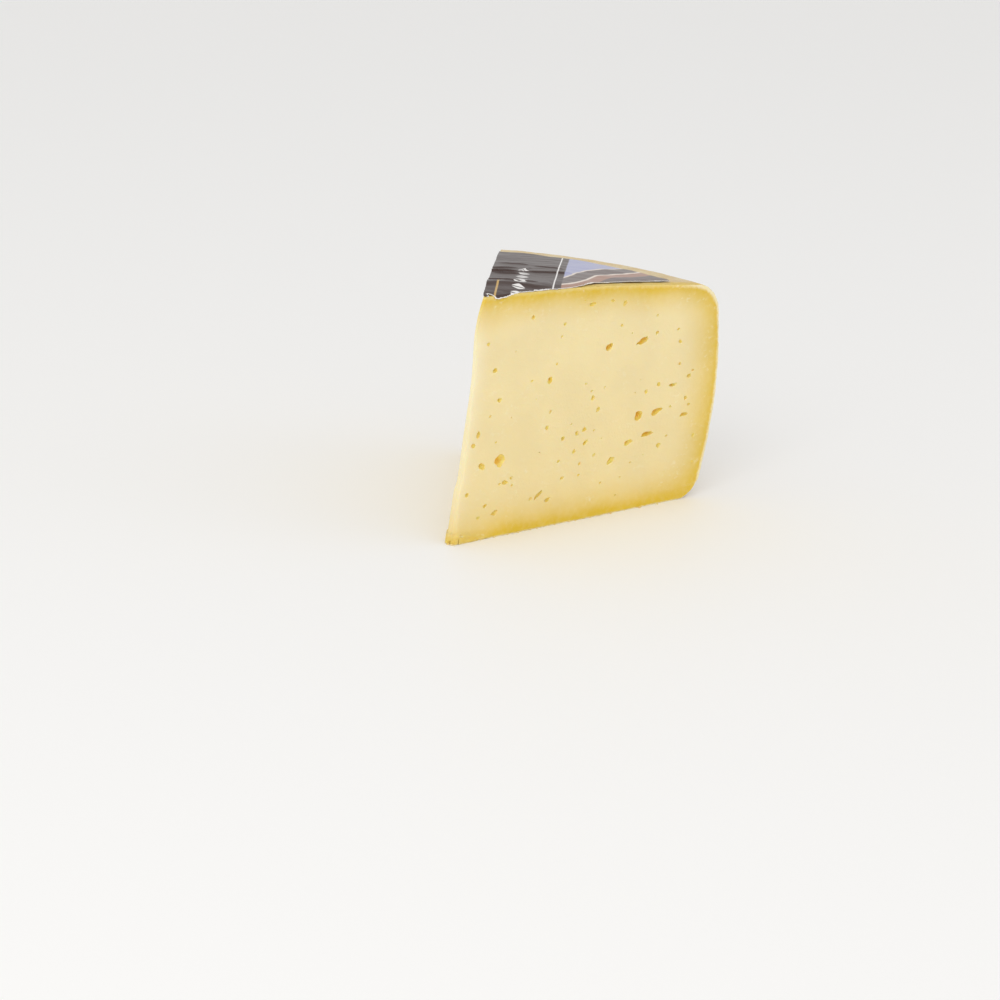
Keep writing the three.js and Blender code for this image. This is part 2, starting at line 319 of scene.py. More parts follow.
class StageSettings(bpy.types.PropertyGroup):
    """Camera, floor and light"""

    lens: share("Lens", "Focal length in mm on a 36 mm sensor", 108)
    camera_x: length("Camera X", "From the wheel's axis", -649.5)
    camera_y: length("Camera Y", "From the wheel's axis", -748.2)
    camera_z: length("Camera Z", "Above the floor", 329.5)
    yaw: angle("Yaw", "From +Y towards +X", 41.54)
    pitch: angle("Pitch", "Down from level", 17.55)
    roll: angle("Roll", "About the line of sight", 3.98)
    floor: tint("Floor", "Plain pale floor", 0xFAF9F7)
    sky: tint("Sky", "Plain soft light from all round", 0xFFFFFF)
    sky_strength: share("Sky strength", "Of the soft light", 0.8)
    key_power: share("Key power", "Watts of the large soft light", 6)
    fill_power: share("Fill power", "Watts of the fill light", 0.8)


def chance(seed):
    """Repeatable chance between 0 and 1, so that the wedge comes out alike every time."""
    factor = 16807
    prime = 2147483647
    state = seed
    while True:
        state = state * factor % prime
        yield state / prime


def mix(low, high, part):
    """The value that lies a part of the way from low to high."""
    return low + (high - low) * part


def part_between(value, low, high):
    """How far a value is from low to high, kept between 0 and 1."""
    return min(max((value - low) / (high - low), 0), 1)


def smooth_between(value, low, high):
    """How far a value is from low to high, kept between 0 and 1 with smooth ends."""
    part = part_between(value, low, high)
    return part * part * (3 - 2 * part)


def uneven(a, b, phase):
    """Smooth unevenness between about -1 and 1, from a few waves that never line up."""
    broad = math.sin(a * 1.7 + phase) * math.cos(b * 1.3 - phase)
    middle = math.sin(a * 3.9 - b * 2.7 + 2.1 * phase)
    fine = math.cos(a * 7.3 + b * 6.1 + 3.3 * phase)
    return 0.5 * broad + 0.32 * middle + 0.18 * fine


def grain(point, size):
    """Noise between about -1 and 1 whose lumps are about as wide as size."""
    return noise.noise(Vector(point) / size)


def swell(sizes, radius, height):
    """Pushes a point of the plain wheel outline out to the swollen side."""
    swell_from = 0.6 * sizes.wheel_radius
    rim_part = part_between(radius, swell_from, sizes.wheel_radius)
    level = part_between(height, 0, sizes.centre_height - sizes.dome_drop)
    bulge = sizes.side_bulge * 4 * level * (1 - level) + sizes.side_lean * (level - 0.5)
    return radius + rim_part * bulge, height


def top_point(sizes, distance):
    """A point of the domed top, by its distance from the axis before the side is swollen."""
    part = distance / (sizes.wheel_radius - sizes.shoulder_radius)
    return swell(sizes, distance, sizes.centre_height - sizes.dome_drop * part * part)


def wheel_outline(sizes):
    """The wheel's outline from the middle of the base to the middle of the top."""
    base_steps = 8
    corner_steps = 14
    side_steps = 72
    top_steps = 60
    shoulder_height = sizes.centre_height - sizes.dome_drop
    base_radius = sizes.wheel_radius - sizes.foot_radius
    top_radius = sizes.wheel_radius - sizes.shoulder_radius
    points = [(0, 0)]
    for i in range(1, base_steps):
        points.append(swell(sizes, base_radius * i / base_steps, 0))
    for i in range(corner_steps + 1):
        turn = i / corner_steps * math.pi / 2
        radius = sizes.wheel_radius - sizes.foot_radius * (1 - math.sin(turn))
        points.append(swell(sizes, radius, sizes.foot_radius * (1 - math.cos(turn))))
    for i in range(1, side_steps):
        height = mix(sizes.foot_radius, shoulder_height - sizes.shoulder_radius, i / side_steps)
        points.append(swell(sizes, sizes.wheel_radius, height))
    for i in range(corner_steps + 1):
        turn = i / corner_steps * math.pi / 2
        radius = sizes.wheel_radius - sizes.shoulder_radius * (1 - math.cos(turn))
        height = shoulder_height - sizes.shoulder_radius * (1 - math.sin(turn))
        points.append(swell(sizes, radius, height))
    for i in range(top_steps - 1, 0, -1):
        points.append(top_point(sizes, top_radius * i / top_steps))
    points.append((0, sizes.centre_height))
    return points


def tip_at(sizes, height):
    """Where along X the two cuts meet at a height."""
    most_worn = 1.2
    below = part_between(sizes.tip_flare_height - height, 0, sizes.tip_flare_height)
    step = sizes.flake_step
    flake = 1 - smooth_between(height, sizes.flake_height - step, sizes.flake_height + step)
    worn = (height - sizes.centre_height) / sizes.tip_rounding_height + 1
    worn = min(max(worn, 0), most_worn)
    flare = sizes.tip_flare * below**sizes.tip_flare_bend + sizes.flake_depth * flake
    return sizes.tip_x - flare + sizes.tip_rounding * worn * worn


def nose_width_at(sizes, height):
    """Width of the blunt thin end at a height."""
    below = part_between(sizes.centre_height - height, 0, sizes.centre_height)
    return mix(sizes.nose_top_width, sizes.nose_foot_width, below * below)


def new_object(name, bm, materials):
    """Makes a mesh object from a bmesh, at the origin, unturned and unscaled."""
    mesh = bpy.data.meshes.new(name)
    bm.to_mesh(mesh)
    bm.free()
    for material in materials:
        mesh.materials.append(material)
    piece = bpy.data.objects.new(name, mesh)
    bpy.context.scene.collection.objects.link(piece)
    return piece


def combine(piece, tool, operation):
    """Cuts piece with tool for good and removes the tool."""
    modifier = piece.modifiers.new("cut", "BOOLEAN")
    modifier.operation = operation
    modifier.object = tool
    modifier.solver = "MANIFOLD"
    modifier.material_mode = "TRANSFER"
    evaluated = piece.evaluated_get(bpy.context.evaluated_depsgraph_get())
    mesh = bpy.data.meshes.new_from_object(evaluated)
    piece.modifiers.clear()
    old = piece.data
    piece.data = mesh
    bpy.data.meshes.remove(old)
    tool_mesh = tool.data
    bpy.data.objects.remove(tool)
    bpy.data.meshes.remove(tool_mesh)
    if not mesh.polygons:
        raise RuntimeError("the cut left nothing of " + piece.name)


def wheel_solid(sizes, materials):
    """The whole wheel about the Z axis, with fine steps only where the wedge is."""
    margin = math.radians(5)
    fine_angle = sizes.wedge_angle + 2 * margin
    fine_steps = 170
    coarse_steps = 44
    bm = bmesh.new()
    verts = [bm.verts.new((radius, 0, height)) for radius, height in wheel_outline(sizes)]
    edges = [bm.edges.new(pair) for pair in zip(verts, verts[1:])]
    bmesh.ops.rotate(bm, verts=verts, cent=(0, 0, 0), matrix=Matrix.Rotation(-margin, 3, "Z"))
    outline = verts + edges
    for turn, steps in ((fine_angle, fine_steps), (FULL_TURN - fine_angle, coarse_steps)):
        spun = bmesh.ops.spin(
            bm,
            geom=outline,
            cent=(0, 0, 0),
            axis=(0, 0, 1),
            angle=turn,
            steps=steps,
            use_merge=False,
            use_duplicate=False,
        )
        outline = spun["geom_last"]
    bmesh.ops.remove_doubles(bm, verts=bm.verts, dist=0.001 * MM)
    bmesh.ops.recalc_face_normals(bm, faces=bm.faces)
    bm.normal_update()
    roughen_rind(sizes, bm)
    return new_object("wheel", bm, materials)


def roughen_rind(sizes, bm):
    """Gives the rind its broad unevenness, its small lumps and its pits."""
    waves_around = 6
    wave_height = 16 * MM
    lump_sizes = ((5 * MM, 0.12 * MM), (1.9 * MM, 0.07 * MM))
    pit_size = 2.6 * MM
    pit_depth = 0.5 * MM
    pit_rarity = 0.35
    elsewhere = Vector((7, 3, 5)) * MM
    moves = []
    for vert in bm.verts:
        distance = math.hypot(vert.co.x, vert.co.y)
        around = math.atan2(vert.co.y, vert.co.x)
        rim_part = smooth_between(distance, 0.85 * sizes.wheel_radius, sizes.wheel_radius)
        broad = uneven(math.sin(around) * waves_around, vert.co.z / wave_height, 1.3)
        lumps = sum(depth * grain(vert.co, size) for size, depth in lump_sizes)
        pit = max(0, grain(vert.co + elsewhere, pit_size) - pit_rarity)
        off_base = smooth_between(vert.co.z, 0.2 * MM, 2 * MM)
        outward = Vector((math.cos(around), math.sin(around), 0))
        move = outward * rim_part * sizes.rind_unevenness * broad
        moves.append((vert, move + vert.normal * off_base * (lumps - pit_depth * pit)))
    for vert, move in moves:
        vert.co += move


def away_from_nose(distance):
    """0 at the thin end and 1 further along the cut."""
    return smooth_between(distance, 3 * MM, 15 * MM)


def band_height(sizes, distance):
    """Height of the crumbly foot of a cut, which rises towards the thin end."""
    return mix(sizes.band_at_nose, sizes.band_elsewhere, away_from_nose(distance))


def foot_band(sizes, along, across, height):
    """How far the crumbly foot stands out of a cut, up to its ragged upper edge."""
    stands_out = 0.1
    stands_out_at_nose = 0.5
    raggedness = 0.35
    lumpiness = 0.34
    edge_height = 0.3 * MM
    distance = along * sizes.knife_reach
    at_nose = 1 - away_from_nose(distance)
    round_nose = across * 4 * MM
    crumble = grain((distance, round_nose, 0), 1.3 * MM)
    crumble += 0.5 * grain((distance, round_nose, 0), 0.5 * MM)
    band = band_height(sizes, distance) * (1 + raggedness * crumble)
    inside = 1 - smooth_between(height, band, band + edge_height)
    lumps = lumpiness * grain((distance, height, round_nose), 1.1 * MM)
    return inside * (mix(stands_out, stands_out_at_nose, at_nose) + lumps) * MM


def cut_point(sizes, along, across, height):
    """A point of the knife's path: along the cuts, across from the front cut to the back."""
    ridge_depth = 0.03
    ridge_turn = 19
    nose_lump = 0.1 * MM
    level = height / sizes.centre_height
    half = sizes.wedge_angle / 2
    nose_width = nose_width_at(sizes, height)
    reach = mix(nose_width / (2 * math.sin(half)), sizes.knife_reach, along)
    front = Vector((reach, 0, 0))
    back = Vector((math.cos(sizes.wedge_angle), math.sin(sizes.wedge_angle), 0)) * reach
    plan = front.lerp(back, across)
    outward = 0
    # The blunt end stands out between the cuts and has faint upright ridges
    if along == 0:
        ridges = ridge_depth * math.cos(across * ridge_turn) * math.sin(across * math.pi)
        outward = (sizes.nose_roundness * 4 * across * (1 - across) + ridges) * nose_width
        outward += nose_lump * grain((across * 3 * MM, 0, height), 2.5 * MM)
    wave = sizes.cut_waviness * uneven(along * 4, level * 3, across * 5) * (2 * across - 1)
    plan.x += tip_at(sizes, height) - outward * math.cos(half) - wave * math.sin(half)
    plan.y += wave * math.cos(half) - outward * math.sin(half)
    proud = foot_band(sizes, along, across, height)
    heading = -math.pi / 2 - across * (math.pi - sizes.wedge_angle)
    return plan + Vector((math.cos(heading) * proud, math.sin(heading) * proud, height))


def knife_levels(sizes):
    """Heights at which the knife's path is worked out, close together at the foot and the top."""
    fine_step = 0.3 * MM
    coarse_step = 1.05 * MM
    levels = [-sizes.knife_margin, -0.3 * MM]
    while levels[-1] < sizes.centre_height + 1 * MM:
        off_base = smooth_between(levels[-1], 3 * MM, 8 * MM)
        off_top = smooth_between(sizes.centre_height - levels[-1], 6 * MM, 12 * MM)
        levels.append(levels[-1] + mix(fine_step, coarse_step, off_base * (0.3 + 0.7 * off_top)))
    levels.append(sizes.centre_height + sizes.knife_margin)
    return levels


def knife_solid(sizes, materials):
    """The space between the two cuts, drawn in plan and extruded upwards level by level."""
    cut_steps = 128
    nose_steps = 12
    outline = [(i / cut_steps, 0) for i in range(cut_steps, -1, -1)]
    outline += [(0, i / nose_steps) for i in range(1, nose_steps)]
    outline += [(i / cut_steps, 1) for i in range(cut_steps + 1)]
    levels = knife_levels(sizes)
    bm = bmesh.new()
    along_layer = bm.verts.layers.float.new("along")
    across_layer = bm.verts.layers.float.new("across")
    verts = []
    for along, across in outline:
        vert = bm.verts.new(cut_point(sizes, along, across, levels[0]))
        vert[along_layer] = along
        vert[across_layer] = across
        verts.append(vert)
    base = bm.faces.new(verts)
    ring = list(base.edges)
    for height in levels[1:]:
        made = bmesh.ops.extrude_edge_only(bm, edges=ring)["geom"]
        for vert in (item for item in made if isinstance(item, bmesh.types.BMVert)):
            vert.co = cut_point(sizes, vert[along_layer], vert[across_layer], height)
        ring = [item for item in made if isinstance(item, bmesh.types.BMEdge) and item.is_boundary]
    bmesh.ops.holes_fill(bm, edges=ring, sides=0)
    bmesh.ops.recalc_face_normals(bm, faces=bm.faces)
    return new_object("knife", bm, materials)


def strewn_eyes(sizes, number, random, smallest, largest, taken):
    """Eyes strewn by chance over a cut, clear of the rind, the thin end and each other."""
    flattest = 0.6
    low_crowding = 1.3
    least_tilt = -10
    tilt_range = 60
    eyes = list(taken)
    lowest = sizes.eye_edge_margin / MM
    reach = (sizes.wheel_radius - sizes.eye_edge_margin) / MM
    highest = (sizes.centre_height - sizes.dome_drop - sizes.eye_edge_margin) / MM
    clear = sizes.eye_spacing / MM
    while len(eyes) < number + len(taken):
        along = mix(sizes.eye_tip_margin / MM, reach, next(random))
        height = mix(lowest, highest, next(random) ** low_crowding)
        width = smallest + (largest - smallest) * next(random) ** 2
        tallness = width * (flattest + (1 - flattest) * next(random))
        tilt = next(random) * tilt_range + least_tilt
        if all(math.hypot(e[0] - along, e[1] - height) > clear + e[2] / 2 for e in eyes):
            eyes.append((along, height, width, tallness, tilt))
    return eyes


def add_lump(bm, place, detail, seed, unevenness):
    """Adds a ball one unit across, makes it lumpy and puts it in its place."""
    made = bmesh.ops.create_icosphere(bm, subdivisions=detail, radius=0.5)
    for vert in made["verts"]:
        shifted = vert.co + Vector((seed, 0, 0))
        lump = 1 + sum(part * grain(shifted, size) for size, part in unevenness)
        vert.co = place @ (vert.co * lump)


def add_eye(sizes, bm, eye, turn, seed):
    """One eye: a lumpy bubble that the knife opened."""
    small_width = 1.8 * MM
    large_width = 4.4 * MM
    along, height, width, tallness = (value * MM for value in eye[:4])
    tip = tip_at(sizes, height)
    large = part_between(width, small_width, large_width)
    deep = 0.5 * mix(1.1, 1, large) * sizes.eye_depth * (width + tallness)
    # A part of the bubble lies outside the cut, so it is made wider to open as wide as listed
    outside = mix(0.3, 0.12, large)
    wide = 1 / math.sqrt(1 - outside * outside)
    outward = 1 if turn > 0 else -1
    place = (
        Matrix.Translation((tip, 0, 0))
        @ Matrix.Rotation(turn, 4, "Z")
        @ Matrix.Translation((along - tip, outward * outside * deep, height))
        @ Matrix.Rotation(-math.radians(eye[4]), 4, "Y")
        @ Matrix.Diagonal((width * wide, 2 * deep, tallness * wide, 1))
    )
    detail = 4 if eye[2] > 1.7 else 3
    lumpiness = sizes.eye_lumpiness
    add_lump(bm, place, detail, seed, ((0.5, 1.9 * lumpiness), (0.24, 0.5 * lumpiness)))


def eye_solid(sizes, material):
    """All eyes of both cuts, as one tool that the cheese is cut with."""
    random = chance(5)
    listed = list(FRONT_EYES)
    for along, height, width in SMALL_EYES:
        tallness = width * (0.6 + 0.35 * next(random))
        listed.append((along, height, width, tallness, 50 * next(random)))
    in_front = strewn_eyes(sizes, sizes.pinholes, chance(7), 0.7, 1.1, listed)
    large_behind = strewn_eyes(sizes, sizes.large_eyes_behind, chance(11), 2.4, 5, [])
    behind = strewn_eyes(sizes, sizes.small_eyes_behind, chance(13), 0.9, 2, large_behind)
    bm = bmesh.new()
    for seed, eye in enumerate(in_front, 1):
        add_eye(sizes, bm, eye, 0, seed)
    for seed, eye in enumerate(behind, 100):
        add_eye(sizes, bm, eye, sizes.wedge_angle, seed)
    return new_object("eyes", bm, [material])


def foot_chips(sizes, material):
    """Cracks in the foot of the thin end, and small bites out of the foot of the front cut."""
    unevenness = ((0.35, 0.3),)
    first_bite = 3
    last_bite = 95
    nose_slant = 0.9
    lean = Matrix.Rotation(math.radians(8), 4, "Y")
    bm = bmesh.new()
    random = chance(17)
    start = tip_at(sizes, 0) + nose_width_at(sizes, 0) / (2 * math.sin(sizes.wedge_angle / 2))
    for along, width, depth, tallness in CRACKS:
        beside = -min(along, 0) * nose_slant
        place = Matrix.Translation((start + along * MM, beside * MM, 0.4 * MM))
        shape = Matrix.Diagonal((width * MM, depth * MM, tallness * MM, 1))
        add_lump(bm, place @ lean @ shape, 3, along, unevenness)
    for seed in range(sizes.foot_bites):
        part = (seed + next(random)) / sizes.foot_bites
        along = start + mix(first_bite, last_bite, part) * MM
        width = (0.7 + 1.6 * next(random) ** 2) * MM
        tallness = (0.35 + 0.4 * next(random)) * MM
        place = Matrix.Translation((along, -0.25 * MM, 0))
        shape = Matrix.Diagonal((width, 0.8 * MM, tallness, 1))
        add_lump(bm, place @ shape, 3, seed, unevenness)
    return new_object("chips", bm, [material])


def depths_under_rind(sizes, point):
    """How deep a point lies under the side and under the top of the wheel."""
    distance = math.hypot(point.x, point.y)
    side = swell(sizes, sizes.wheel_radius, point.z)[0] - distance
    top = top_point(sizes, min(distance, sizes.wheel_radius))[1] - point.z
    return side, top


def ripeness(sizes, point):
    """How ripe and amber the paste is at a point, from 0 in the middle to 1 under the rind."""
    side, top = depths_under_rind(sizes, point)
    stray = 1.1 * MM * grain(point, 14 * MM)
    past_nose = smooth_between(point.x, -2 * MM, 18 * MM)
    at_foot = mix(0.62, 1, past_nose)
    top_reach = mix(18 * MM, 13 * MM, past_nose)
    fully_ripe = 1.2 * MM
    left = 1
    for depth, reach, strength, bend in (
        (side, 20 * MM, 0.95, 1.6),
        (top, top_reach, 0.94, 1.6),
        (top, 4 * MM, 0.5, 1),
        (point.z, 20 * MM, at_foot, 2.5),
        (point.z, 60 * MM, 0.13, 1),
        (point.z, 4.5 * MM, 0.5, 1),
    ):
        fade = 1 - part_between(depth + stray, fully_ripe, reach)
        left *= 1 - strength * fade**bend
    return 1 - left


def rind_depth(sizes, point):
    """How deep a point lies under the rind, which is about a third as thick at the foot."""
    thinner_at_foot = 2.8
    side, top = depths_under_rind(sizes, point)
    corner = sizes.shoulder_radius if point.z > 0.5 * sizes.centre_height else sizes.foot_radius
    near = min(top, thinner_at_foot * point.z)
    if side < corner and near < corner:
        return corner - math.hypot(corner - side, corner - near)
    return min(side, near)


def rind_dryness(sizes, point):
    """How pale the cut rind is: dry at the side and foot, moist under the label."""
    distance = math.hypot(point.x, point.y)
    outer = smooth_between(distance, 0.8 * sizes.wheel_radius, 0.95 * sizes.wheel_radius)
    low = 1 - smooth_between(point.z, 0.2 * sizes.centre_height, 0.3 * sizes.centre_height)
    past_nose = smooth_between(point.x, 5 * MM, 12 * MM)
    return max(outer, mix(0.3, 0.25 + 0.65 * past_nose, low))


def rind_damp(sizes, point):
    """How far the rind is soaked with fat: along the front cut, where the label tore off."""
    wettest = 0.7
    high = smooth_between(point.z, 0.8 * sizes.centre_height, 0.93 * sizes.centre_height)
    return wettest * high * (1 - smooth_between(point.y, 1.5 * MM, 6 * MM))


def cut_depth(sizes, point):
    """How deep a point lies below the nearer cut, which sets the painted shade that darkens the
    deeper parts of the eyes.
    """
    from_tip = point.xy - Vector((tip_at(sizes, point.z), 0))
    behind = Matrix.Rotation(-sizes.wedge_angle, 2) @ from_tip
    return min(abs(point.y), abs(behind.y))


def thin_end_highlight(sizes, point):
    """How close a point is to the thin end, where the paste is painted paler: a painted highlight
    of the light from the left on the blunt end.
    """
    palest = 0.8
    reach = math.hypot(point.x - tip_at(sizes, point.z), point.y)
    return palest * (1 - part_between(reach, 1.5 * MM, 9 * MM)) ** 1.5


POINT_VALUES = [ripeness, rind_depth, rind_dryness, thin_end_highlight, cut_depth, rind_damp]


def soften_edges(sizes, mesh):
    """Takes the sharpness off the edges between the cuts and the rind."""
    rounds = 2
    chip_depth = 0.12 * MM
    chip_size = 1.6 * MM
    bm = bmesh.new()
    bm.from_mesh(mesh)
    seam = set()
    for edge in bm.edges:
        kinds = {face.material_index for face in edge.link_faces}
        if len(kinds) > 1 and EYE_INDEX not in kinds:
            seam.update(edge.verts)
    axes = {"use_axis_x": True, "use_axis_y": True, "use_axis_z": True}
    for _ in range(rounds):
        bmesh.ops.smooth_vert(bm, verts=list(seam), factor=0.35, **axes)
    for vert in seam:
        worn = sizes.edge_wear + max(0, chip_depth * grain(vert.co, chip_size))
        vert.co -= vert.normal * worn * part_between(vert.co.z, 0.1 * MM, 0.8 * MM)
    for vert in bm.verts:
        vert.co.z = max(vert.co.z, 0)
    bm.to_mesh(mesh)
    bm.free()


def finish_piece(piece, sizes, nodes):
    sharp_angle = math.radians(60)
    if not piece.data.polygons:
        raise RuntimeError(piece.name + " has no faces")
    shift = Matrix.Translation((sizes.wheel_axis_x, sizes.wheel_axis_y, 0))
    piece.data.transform(shift)
    piece.data.shade_smooth()
    piece.data.set_sharp_from_angle(angle=sharp_angle)
    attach(piece, "root")
    if nodes:
        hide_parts(*nodes)


def add_node(tree, kind, values=(), output=None, **settings):
    """Adds a node and gives one of its outputs; values are for its inputs, by name or in order."""
    node = tree.nodes.new("ShaderNode" + kind)
    for name, value in settings.items():
        setattr(node, name, value)
    if isinstance(values, dict):
        pairs = [(node.inputs[name], value) for name, value in values.items()]
    else:
        pairs = zip([socket for socket in node.inputs if socket.enabled], values)
    for socket, value in pairs:
        if isinstance(value, bpy.types.NodeSocket):
            tree.links.new(value, socket)
        elif socket.type == "RGBA":
            socket.default_value = (*value, 1)
        else:
            socket.default_value = value
    if output:
        return node.outputs[output]
    return next((socket for socket in node.outputs if socket.enabled), None)


def new_material(name):
    """An empty node material, and the function that adds a node to it."""
    material = bpy.data.materials.new(name)
    material.use_nodes = True
    material.node_tree.nodes.clear()
    return material, functools.partial(add_node, material.node_tree)


def speckle(add, place, lump_size, detail=2, roughness=0.5, stretch=(1, 1, 1)):
    """Noise whose lumps are about lump_size wide, in metres."""
    stretched = add("Mapping", {"Vector": place, "Scale": stretch})
    grainy = {"Scale": 1 / lump_size, "Detail": detail, "Roughness": roughness}
    return add("TexNoise", {"Vector": stretched, **grainy})


def near(add, value, place, inner, outer):
    """1 where a value is within inner of a place, and 0 where it is outer away or more."""
    offset = add("Math", (value, place), operation="SUBTRACT")
    offset = add("Math", (offset,), operation="ABSOLUTE")
    return add("MapRange", (offset, inner, outer, 1, 0), **SMOOTH)


def paste_material(colours):
    """Semi-hard cheese paste cut by a knife: smooth and satin, light glows through it."""
    material, add = new_material("semi-hard cheese paste, knife cut")
    place = add("TexCoord", output="Object")
    ripe, depth, dry, thin = (
        add("Attribute", output="Fac", attribute_name=name)
        for name in ("ripeness", "rind_depth", "rind_dryness", "thin_end_highlight")
    )
    curd = add("MapRange", (speckle(add, place, 2.2 * MM, 3), 0.4, 0.7, 0, 0.12), **SMOOTH)
    # Small pale scars, in groups, where the knife tore the curd
    scar = speckle(add, place, 1.8 * MM, stretch=(1, 1, 1.4))
    scar = add("MapRange", (scar, 0.54, 0.74, 0, 0.34), **SMOOTH)
    group = add("MapRange", (speckle(add, place, 9 * MM), 0.5, 0.66), **SMOOTH)
    scar = add("Math", (scar, group), operation="MULTIPLY")
    # The rind where it is cut through, with a ragged inner edge
    ragged = speckle(add, place, 1.4 * MM)
    ragged = add("MapRange", (ragged, 0.3, 0.7, -0.2 * MM, 0.25 * MM), **SMOOTH)
    inner = add("Math", (depth, ragged), operation="ADD")
    line = add("MapRange", (inner, 0.25 * MM, 1.7 * MM, 1, 0), **SMOOTH)
    line = add("Math", (line, dry), operation="MULTIPLY")
    body = colours.paste
    # The pale colour at the thin end is a painted highlight of the light from the left on the blunt
    # end
    for part, colour in (
        (thin, colours.pale_paste_and_nose_highlight),
        (ripe, colours.ripe_paste),
        (curd, colours.paste),
        (scar, colours.pale_paste_and_nose_highlight),
        (line, colours.rind_line),
    ):
        body = add("Mix", (part, body, colour), **COLOURS)
    cloud = add("MapRange", (speckle(add, place, 16 * MM), 0.35, 0.65, 0.98, 1.02))
    body = add("Mix", (1.0, body, cloud), blend_type="MULTIPLY", **COLOURS)
    # Faint parallel drag marks that the knife left, wide apart and shallow
    drag = speckle(add, place, 1.6 * MM, roughness=0.6, stretch=(0.25, 0.25, 1))
    curds = speckle(add, place, 0.9 * MM, 3, 0.55)
    normal = {}
    for height, relief in ((drag, 0.12 * MM), (curds, 0.09 * MM), (scar, 0.12 * MM)):
        normal = {"Normal": add("Bump", {"Height": height, "Distance": relief, **normal})}
    shine = add("MapRange", (speckle(add, place, 5 * MM), 0.3, 0.7, 0.42, 0.56), **SMOOTH)
    look = {
        "Base Color": body,
        "Roughness": shine,
        "IOR": 1.45,
        "Subsurface Weight": 0.35,
        "Subsurface Radius": (1.0, 0.8, 0.4),
        "Subsurface Scale": 2.2 * MM,
        "Specular IOR Level": 0.4,
        **normal,
    }
    add("OutputMaterial", (add("BsdfPrincipled", look),))
    return material


def eye_material(colours):
    """Inside of an eye in the paste: smooth and a little moist, with painted shade and glow that
    make it darker and more amber with depth.
    """
    material, add = new_material("cheese eye, smooth and moist")
    place = add("TexCoord", output="Object")
    ripe, depth = (
        add("Attribute", output="Fac", attribute_name=name) for name in ("ripeness", "cut_depth")
    )
    # Painted shade and glow: the inside of an eye turns darker and more amber with its depth below
    # the cut
    inside = add("MapRange", (depth, 0.05 * MM, 0.5 * MM, 0.25, 1), **SMOOTH)
    deep = add("MapRange", (depth, 0.7 * MM, 1.9 * MM), **SMOOTH)
    body = colours.paste
    for part, colour in (
        (ripe, colours.ripe_paste),
        (inside, colours.eye),
        (deep, colours.deep_eye_shade),
    ):
        body = add("Mix", (part, body, colour), **COLOURS)
    skin = speckle(add, place, 0.8 * MM)
    look = {
        "Base Color": body,
        "Roughness": 0.36,
        "IOR": 1.45,
        "Subsurface Weight": 0.6,
        "Subsurface Radius": (1.0, 0.75, 0.35),
        "Subsurface Scale": 1.5 * MM,
        "Normal": add("Bump", {"Height": skin, "Distance": 0.06 * MM}),
    }
    add("OutputMaterial", (add("BsdfPrincipled", look),))
    return material


def rind_material(colours):
    """Dry natural rind that ripened in a cloth: matt, dusty, with the weave pressed in."""
    material, add = new_material("natural cheese rind, cloth pressed and dusty")
    place = add("TexCoord", output="Object")
    damp = add("Attribute", output="Fac", attribute_name="rind_damp")
    patches = speckle(add, place, 9 * MM, 5, 0.65)
    patches = add("MapRange", (patches, 0.3, 0.75, 0, 0.75), **SMOOTH)
    bloom = speckle(add, place, 4 * MM, 5, 0.7)
    bloom = add("MapRange", (bloom, 0.44, 0.8, 0, 0.8), **SMOOTH)
    # The threads of the cloth are too fine to show: they are drawn as a net of small dents
    net = {"Vector": place, "Scale": 1 / (1.1 * MM), "Randomness": 0.55}
    dents = add("TexVoronoi", net, feature="F1")
    hollow = add("MapRange", (dents, 0.1, 0.6, 0.35, 0), **SMOOTH)
    body = colours.rind
    for part, colour in (
        (patches, colours.rind_dark),
        (bloom, colours.rind_pale),
        (damp, colours.ripe_paste),
        (hollow, colours.rind_dark),
    ):
        body = add("Mix", (part, body, colour), **COLOURS)
    dust = speckle(add, place, 0.5 * MM, 3, 0.6)
    normal = {}
    for height, relief in ((dust, 0.12 * MM), (dents, 0.16 * MM)):
        normal = {"Normal": add("Bump", {"Height": height, "Distance": relief, **normal})}
    look = {
        "Base Color": body,
        "Roughness": add("MapRange", (bloom, 0, 0.8, 0.6, 0.85), **SMOOTH),
        "IOR": 1.45,
        "Subsurface Weight": 0.1,
        "Subsurface Radius": (1.0, 0.6, 0.25),
        "Subsurface Scale": 1 * MM,
        **normal,
    }
    add("OutputMaterial", (add("BsdfPrincipled", look),))
    return material


def torn_inset(design, distance):
    """How far the torn edge lies back from the front cut, at a distance from the wheel's axis."""
    notch_width = 1.3 * MM
    lobe_depth = 1.0 * MM
    ragged = grain((distance, 0, 0), 1.4 * MM) + 0.6 * grain((distance, 5 * MM, 0), 0.5 * MM)
    strip = design.torn_width * smooth_between(distance, design.torn_from, design.torn_to)
    notch = design.notch_depth * max(0, 1 - abs(distance - design.notch_at) / notch_width)
    # Past the notch the edge stands out again in a long low lobe
    lobe = lobe_depth * smooth_between(distance, 3.2 * MM, 4.6 * MM)
    lobe *= 1 - smooth_between(distance, 7 * MM, 17 * MM)
    return design.inset + design.raggedness * ragged + strip + notch - lobe


